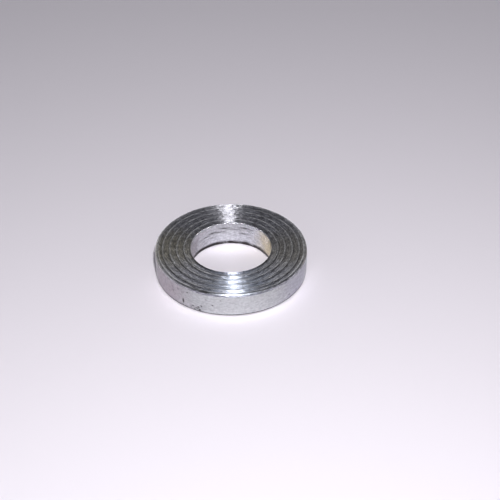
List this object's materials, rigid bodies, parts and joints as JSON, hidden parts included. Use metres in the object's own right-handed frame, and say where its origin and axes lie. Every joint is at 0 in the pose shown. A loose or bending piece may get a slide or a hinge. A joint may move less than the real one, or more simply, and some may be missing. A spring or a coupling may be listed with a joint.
{
  "type": "shaft collar",
  "caption": "Plain flat steel ring with a straight bore and concentric turned grooves in one face, slid over a shaft as a collar or spacer.",
  "frame": {"origin": "centre of the bore at the flat bottom face that the ring rests on", "axes": "+Z along the bore axis, out of the grooved face; +X and +Y are any two perpendicular directions across the ring, which is round"},
  "size_m": [0.032, 0.032, 0.0055],
  "materials": {
    "zinc_plated_steel": "bright zinc plate over turned steel, with fine circular tool marks, small nicks and a slight yellow tint in the bore"
  },
  "bodies": {
    "root": {"collar_ring": "zinc_plated_steel"}
  },
  "joints": []
}
